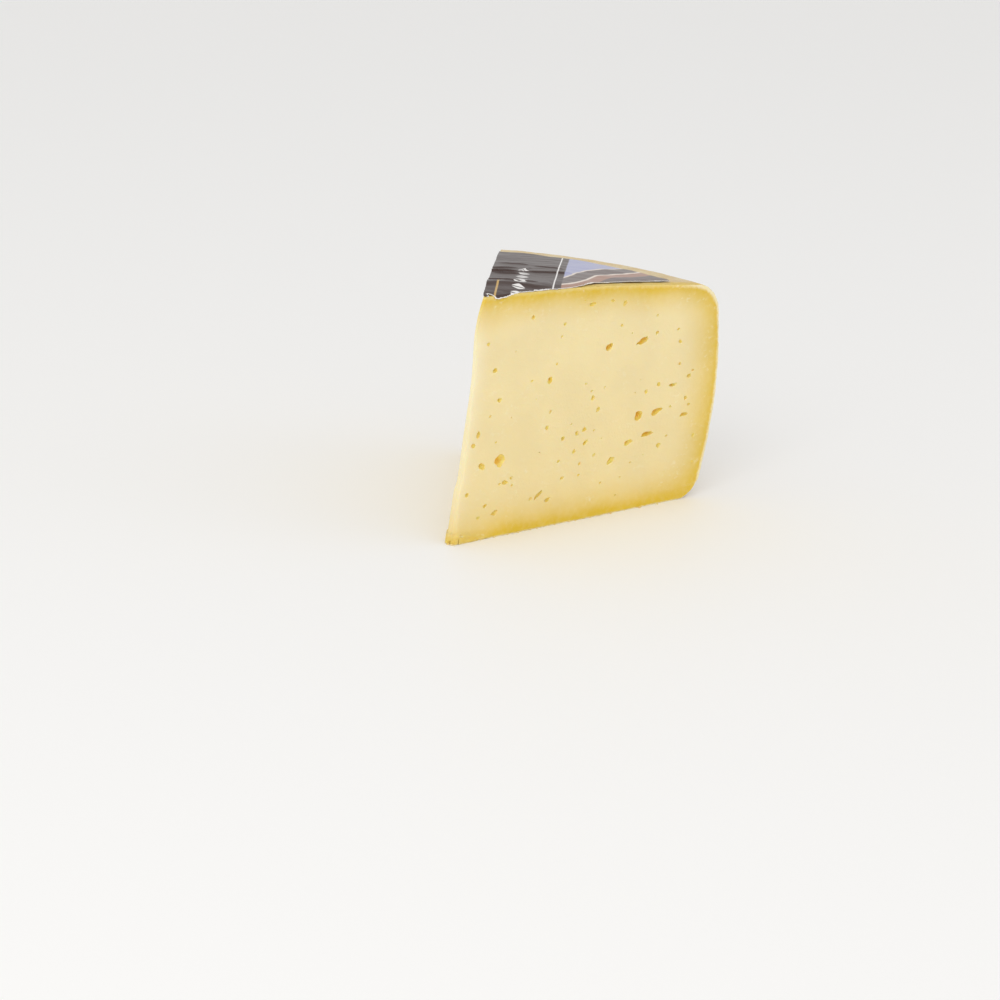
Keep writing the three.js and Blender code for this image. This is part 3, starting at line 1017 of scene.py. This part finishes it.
def crease_height(place):
    """Height of the larger creases and of the fine crumple at a place, in metres."""
    boldness = 1.2
    gentle_side = 1.5
    steep_side = 0.45
    crumple_heading = math.radians(27)
    height = 0
    for x0, y0, x1, y1, peak, width in CREASES:
        start = Vector((x0, y0)) * MM
        run = Vector((x1 - x0, y1 - y0)) * MM
        offset = Vector(place[:2]) - start
        along = offset.dot(run) / run.length_squared
        beside = (run.x * offset.y - run.y * offset.x) / run.length
        beside += 0.5 * MM * grain((along * run.length, peak, 0), 3 * MM)
        ends = max(0, 1 - (2 * along - 1) ** 2)
        width *= (gentle_side if beside > 0 else steep_side) * MM
        height += boldness * peak * MM * math.sqrt(ends) * math.exp(-((beside / width) ** 2))
    turned = Matrix.Rotation(crumple_heading, 2) @ Vector(place[:2])
    # The crumple has three sizes of lump, each with its height, stretch and layer of noise
    for size, lump, stretch, layer in ((3.4, 0.13, 3, 0), (10, 0.35, 2, 0), (1.2, 0.05, 3, 9)):
        spot = (turned.x / stretch, turned.y, layer * MM)
        height += lump * MM * grain(spot, size * MM)
    return height


def label_edges(sizes, design, distance):
    """The two angles about the wheel's axis between which the label lies, at a distance from it."""
    largest_inset = mix(0.62, 0.3, part_between(distance, 4 * MM, 8 * MM))
    overhang = design.overhang - 0.1 * MM * grain((distance, 0, 0), 2 * MM)
    cut_tip = tip_at(sizes, top_point(sizes, distance)[1])
    back_offset = -cut_tip * math.sin(sizes.wedge_angle)
    low = min(torn_inset(design, distance) / distance, largest_inset * sizes.wedge_angle)
    return low, sizes.wedge_angle + (back_offset + overhang) / distance


def label_sheet(sizes, design, materials):
    """The cut piece of the round label: a thin sheet with creases and a torn front edge."""
    front_crowding = 1.3
    curl_width = 8 * MM
    rim_raggedness = 0.25 * MM
    bends_down = 1.3
    bends_in = 0.45
    names = ("print_across", "print_along", "print_width", "print_depth", "torn")
    bm = bmesh.new()
    layers = [bm.verts.layers.float.new(name) for name in names]
    bmesh.ops.create_grid(bm, x_segments=230, y_segments=120, size=0.5)
    for vert in bm.verts:
        distance = mix(design.tip_x, design.radius, vert.co.x + 0.5)
        low, high = label_edges(sizes, design, distance)
        turn = mix(low, high, (vert.co.y + 0.5) ** front_crowding)
        rim = rim_raggedness * grain((0, turn * design.radius, 0), 3 * MM)
        reach = distance + rim * smooth_between(distance, 0.95 * design.radius, design.radius)
        place = Vector((math.cos(turn) * reach, math.sin(turn) * reach, 0))
        from_cut = reach * turn
        curl = 1 - part_between(from_cut, 0, curl_width)
        curl_depth = design.curl * mix(1.9, 1, smooth_between(distance, 14 * MM, 30 * MM))
        lift = crease_height(place) * mix(0.3, 1, smooth_between(from_cut, 0, 3 * MM))
        lift += curl_depth * (1 - curl * curl)
        # Past the front cut the sheet bends down over the edge
        hang = max(0, -place.y)
        place.z = top_point(sizes, reach)[1] + design.gap + lift - bends_down * hang
        place.y *= bends_in if place.y < 0 else 1
        vert.co = place
        away = Matrix.Rotation(-sizes.wedge_angle, 2) @ place.xy
        values = (-away.y, away.x, place.x, place.y, (turn - low) * reach)
        for layer, value in zip(layers, values):
            vert[layer] = value
    bmesh.ops.solidify(bm, geom=list(bm.faces), thickness=design.thickness)
    bmesh.ops.recalc_face_normals(bm, faces=bm.faces)
    return new_object("printed_label", bm, materials)


def printed_bands(add, design, width, depth):
    """Layered waves of colour: lilac, mauve and terracotta, with cream lines between them."""
    wave_length = 6 * MM
    wave_depth = 1.6 * MM
    slope = 0.3
    slope_from = 37 * MM
    softness = 0.3 * MM
    swing = add("Math", (width, wave_length), operation="DIVIDE")
    swing = add("Math", (swing,), operation="SINE")
    swing = add("Math", (swing, wave_depth), operation="MULTIPLY")
    rise = add("Math", (width, slope_from), operation="SUBTRACT")
    rise = add("Math", (rise, slope), operation="MULTIPLY")
    wave = add("Math", (depth, rise), operation="SUBTRACT")
    wave = add("Math", (wave, swing), operation="ADD")
    ink = design.lilac
    for level, colour in (
        (12 * MM, design.cream),
        (11 * MM, design.mauve),
        (4 * MM, design.cream),
        (2.8 * MM, design.terracotta),
        (-2 * MM, design.mauve),
    ):
        below = add("MapRange", (wave, level - softness, level + softness, 1, 0), **SMOOTH)
        ink = add("Mix", (below, ink, colour), **COLOURS)
    return ink


def leaf_row(add, design, across, along):
    """A row of plain pointed leaves, 1 where the leaf is and 0 beside it."""
    leaf_width = 0.33
    pointedness = 1.6
    edge_width = 0.2 * MM
    start, end = design.leaves_from, design.leaves_to
    turn = add("Math", (along, design.leaf_pitch), operation="DIVIDE")
    turn = add("Math", (turn,), operation="FRACT")
    beside = add("Math", (turn, 0.5), operation="SUBTRACT")
    beside = add("Math", (beside,), operation="ABSOLUTE")
    beside = add("Math", (beside, leaf_width), operation="DIVIDE")
    level = add("Math", (across, design.leaves_at), operation="SUBTRACT")
    level = add("Math", (level, design.leaf_reach), operation="DIVIDE")
    level = add("Math", (level,), operation="ABSOLUTE")
    level = add("Math", (level, pointedness), operation="POWER")
    edge = add("Math", (level, beside), operation="ADD")
    leaf = add("MapRange", (edge, 0.9, 1.05, 1, 0), **SMOOTH)
    for part in (
        add("MapRange", (beside, 0.1, 0.22), **SMOOTH),
        add("MapRange", (along, start, start + edge_width), **SMOOTH),
        add("MapRange", (along, end, end + edge_width, 1, 0), **SMOOTH),
    ):
        leaf = add("Math", (leaf, part), operation="MULTIPLY")
    return leaf


def torn_rim(add, design, place, torn, width):
    """1 on the bare fibres along the torn edge, which are broad in patches and at the notch."""
    softness = 0.06 * MM
    fibre = speckle(add, place, 0.9 * MM, 3, 0.6)
    fibre = add("MapRange", (fibre, 0.3, 0.7, 0.2 * MM, 0.9 * MM), **SMOOTH)
    patch = add("MapRange", (speckle(add, place, 5 * MM), 0.56, 0.66, 0.22, 1), **SMOOTH)
    at_notch = near(add, width, design.notch_fibres_at, 0.9 * MM, 2.2 * MM)
    patch = add("Math", (patch, at_notch), operation="MAXIMUM")
    rim = add("Math", (fibre, patch), operation="MULTIPLY")
    inside = add("Math", (torn, rim), operation="SUBTRACT")
    return add("MapRange", (inside, -softness, softness, 1, 0), **SMOOTH)


def label_material(design):
    """Glossy printed paper that has creased on the damp rind, with white fibres where it tore."""
    softness = 0.4 * MM
    material, add = new_material("glossy printed label paper, creased and torn")
    place = add("TexCoord", output="Object")
    across, along, width, depth, torn = (
        add("Attribute", output="Fac", attribute_name=name)
        for name in ("print_across", "print_along", "print_width", "print_depth", "torn")
    )
    field = add("MapRange", (across, design.bands_at, design.bands_at + softness), **SMOOTH)
    line = near(add, across, design.line_at, 0.16 * MM, 0.32 * MM)
    stripe = near(add, across, design.stripe_at, 0.25 * MM, 0.45 * MM)
    stripe_end = (along, design.stripe_length, design.stripe_length + softness, 1, 0)
    stripe = add("Math", (stripe, add("MapRange", stripe_end, **SMOOTH)), operation="MULTIPLY")
    bare = torn_rim(add, design, place, torn, width)
    body = design.charcoal
    for part, colour in (
        (field, printed_bands(add, design, width, depth)),
        (line, design.white),
        (stripe, design.gold),
        (leaf_row(add, design, across, along), design.white),
        (bare, design.white),
    ):
        body = add("Mix", (part, body, colour), **COLOURS)
    crumple = speckle(add, place, 2.4 * MM, 3, 0.6)
    look = {
        "Base Color": body,
        "Roughness": add("MapRange", (bare, 0, 1, 0.33, 0.8), **SMOOTH),
        "IOR": 1.55,
        "Specular Tint": (1, 0.89, 0.85),
        "Normal": add("Bump", {"Height": crumple, "Distance": 0.1 * MM}),
    }
    add("OutputMaterial", (add("BsdfPrincipled", look),))
    return material


def crumb_material(colours):
    """Dry crumbs of rind and paste: matt, pale and rough."""
    material, add = new_material("dry crumbs of cheese rind")
    place = add("TexCoord", output="Object")
    patches = speckle(add, place, 1.5 * MM)
    look = {
        "Base Color": add("Mix", (patches, colours.rind_line, colours.ripe_paste), **COLOURS),
        "Roughness": 0.7,
        "Subsurface Weight": 0.2,
        "Subsurface Radius": (1.0, 0.6, 0.25),
        "Subsurface Scale": 0.8 * MM,
    }
    add("OutputMaterial", (add("BsdfPrincipled", look),))
    return material


def floor_material(stage):
    """Matt pale board: it takes soft shadows and has almost no shine."""
    material, add = new_material("matt pale board")
    look = {"Base Color": stage.floor, "Roughness": 0.6}
    add("OutputMaterial", (add("BsdfPrincipled", look),))
    return material


def crumb_place(sizes, seed, away, along):
    """Where a crumb lies: most along the front cut, some on the foot's ledge or by the thin end."""
    every_by_nose = 16
    every_on_ledge = 4
    ledge_width = 0.3 * MM
    nose_slant = 0.35
    if seed % every_by_nose == 0:
        place = Vector((sizes.tip_x - sizes.tip_flare - away, 3 * MM * (along - 0.35), 0))
        place.x -= nose_slant * place.y - 2.6 * MM
        return place
    if seed % every_on_ledge == 0:
        distance = mix(5.5, 14, along) * MM
        return Vector((tip_at(sizes, 0) + distance, -ledge_width, band_height(sizes, distance)))
    return Vector((mix(-3, 92, along**1.1) * MM, -away, 0))


def crumb_heap(sizes, materials):
    """Crumbs that the knife left along the foot of the front cut and of the thin end."""
    sunk = 0.42
    unevenness = 0.45
    bm = bmesh.new()
    random = chance(29)
    for seed in range(sizes.crumbs):
        size = (0.16 + 0.42 * next(random) ** 3) * MM
        away = (0.1 + 0.5 * next(random) ** 2) * MM
        place = crumb_place(sizes, seed, away, next(random))
        place.z += sunk * size
        turn = Matrix.Rotation(next(random) * FULL_TURN, 4, "Z")
        flat = Matrix.Diagonal((1, 0.55 + 0.4 * next(random), 0.5 + 0.3 * next(random), 1))
        made = bmesh.ops.create_icosphere(bm, subdivisions=3, radius=size)
        for vert in made["verts"]:
            lump = 1 + unevenness * grain(vert.co + Vector((seed, 0, 0)), 1.1 * size)
            vert.co = Matrix.Translation(place) @ turn @ flat @ (vert.co * lump)
            vert.co.z = max(vert.co.z, 0)
    return new_object("crumbs", bm, materials)


class CHEESE_OT_wedge(bpy.types.Operator):
    """Build the wedge of cheese: the wheel, cut by the knife, with its eyes"""

    bl_idname = "cheese.wedge"
    bl_label = "Wedge"

    def execute(self, context):
        sizes = context.scene.wedge_sizes
        colours = context.scene.cheese_colours
        paste = paste_material(colours)
        piece = wheel_solid(sizes, [rind_material(colours)])
        piece.name = "cheese_paste_and_rind"
        combine(piece, knife_solid(sizes, [paste]), "INTERSECT")
        combine(piece, eye_solid(sizes, eye_material(colours)), "DIFFERENCE")
        combine(piece, foot_chips(sizes, paste), "DIFFERENCE")
        mesh = piece.data
        soften_edges(sizes, mesh)
        for value_of in POINT_VALUES:
            layer = mesh.attributes.new(value_of.__name__, "FLOAT", "POINT")
            layer.data.foreach_set("value", [value_of(sizes, vert.co) for vert in mesh.vertices])
        finish_piece(piece, sizes, ["cheese_wedge"])
        return {"FINISHED"}


class CHEESE_OT_label(bpy.types.Operator):
    """Build the cut piece of the paper label that sticks to the top of the rind"""

    bl_idname = "cheese.label"
    bl_label = "Label"

    def execute(self, context):
        sizes = context.scene.wedge_sizes
        design = context.scene.label_design
        piece = label_sheet(sizes, design, [label_material(design)])
        finish_piece(piece, sizes, ["top_label"])
        return {"FINISHED"}


class CHEESE_OT_crumbs(bpy.types.Operator):
    """Strew the crumbs along the foot of the front cut"""

    bl_idname = "cheese.crumbs"
    bl_label = "Crumbs"

    def execute(self, context):
        sizes = context.scene.wedge_sizes
        piece = crumb_heap(sizes, [crumb_material(context.scene.cheese_colours)])
        finish_piece(piece, sizes, [])
        return {"FINISHED"}


class CHEESE_OT_stage(bpy.types.Operator):
    """Set the plain floor, the soft light and the camera"""

    bl_idname = "cheese.stage"
    bl_label = "Stage"

    def execute(self, context):
        stage = context.scene.stage_settings
        floor_size = 6
        bm = bmesh.new()
        bmesh.ops.create_grid(bm, x_segments=1, y_segments=1, size=floor_size)
        new_object("floor", bm, [floor_material(stage)])
        world = bpy.data.worlds.new("soft sky")
        world.use_nodes = True
        background = world.node_tree.nodes["Background"]
        background.inputs["Color"].default_value = (*stage.sky, 1)
        background.inputs["Strength"].default_value = stage.sky_strength
        context.scene.world = world
        # Each lamp has a place and a size in metres
        for name, place, size, power in (
            ("key", (-1.15, -0.75, 1.0), 0.9, stage.key_power),
            ("fill", (0.9, -0.9, 0.7), 0.8, stage.fill_power),
        ):
            add_lamp(name, place, size, power)
        add_camera(stage, context.scene.wedge_sizes)
        context.scene.view_settings.view_transform = "Standard"
        return {"FINISHED"}


def add_lamp(name, place, size, power):
    """A large square lamp that faces the middle of the wedge."""
    middle_height = 0.04
    light = bpy.data.lights.new(name, "AREA")
    light.size = size
    light.energy = power
    lamp = bpy.data.objects.new(name, light)
    aim = Vector((0, 0, middle_height)) - Vector(place)
    lamp.location = place
    lamp.rotation_euler = aim.to_track_quat("-Z", "Y").to_euler()
    bpy.context.scene.collection.objects.link(lamp)


def add_camera(stage, sizes):
    """The camera, at the photograph's place and with its small roll."""
    data = bpy.data.cameras.new("camera")
    data.lens = stage.lens
    data.sensor_width = 36
    data.clip_end = 50
    camera = bpy.data.objects.new("camera", data)
    axis = Vector((sizes.wheel_axis_x, sizes.wheel_axis_y, 0))
    camera.matrix_world = (
        Matrix.Translation(axis + Vector((stage.camera_x, stage.camera_y, stage.camera_z)))
        @ Matrix.Rotation(-stage.yaw, 4, "Z")
        @ Matrix.Rotation(math.pi / 2 - stage.pitch, 4, "X")
        @ Matrix.Rotation(stage.roll, 4, "Z")
    )
    bpy.context.scene.collection.objects.link(camera)
    bpy.context.scene.camera = camera


class CHEESE_PT_panel(bpy.types.Panel):
    """Lists the pieces of the cheese and their sizes"""

    bl_idname = "CHEESE_PT_panel"
    bl_label = "Cheese"
    bl_space_type = "VIEW_3D"
    bl_region_type = "UI"
    bl_category = "Cheese"

    def draw(self, context):
        for operator in OPERATORS:
            self.layout.operator(operator.bl_idname)
        for name in GROUPS:
            group = getattr(context.scene, name)
            box = self.layout.box()
            for key in group.__annotations__:
                box.prop(group, key)


OPERATORS = [CHEESE_OT_wedge, CHEESE_OT_label, CHEESE_OT_crumbs, CHEESE_OT_stage]
GROUPS = {
    "wedge_sizes": WedgeSizes,
    "cheese_colours": CheeseColours,
    "label_design": LabelDesign,
    "stage_settings": StageSettings,
}
CLASSES = [*GROUPS.values(), *OPERATORS, CHEESE_PT_panel]


def register():
    for cls in CLASSES:
        bpy.utils.register_class(cls)
    for name, group in GROUPS.items():
        setattr(bpy.types.Scene, name, bpy.props.PointerProperty(type=group))


def unregister():
    for name in GROUPS:
        delattr(bpy.types.Scene, name)
    for cls in reversed(CLASSES):
        bpy.utils.unregister_class(cls)


def main():
    register()
    bpy.ops.cheese.wedge()
    bpy.ops.cheese.label()
    bpy.ops.cheese.crumbs()
    bpy.ops.cheese.stage()


if __name__ == "__main__":
    main()
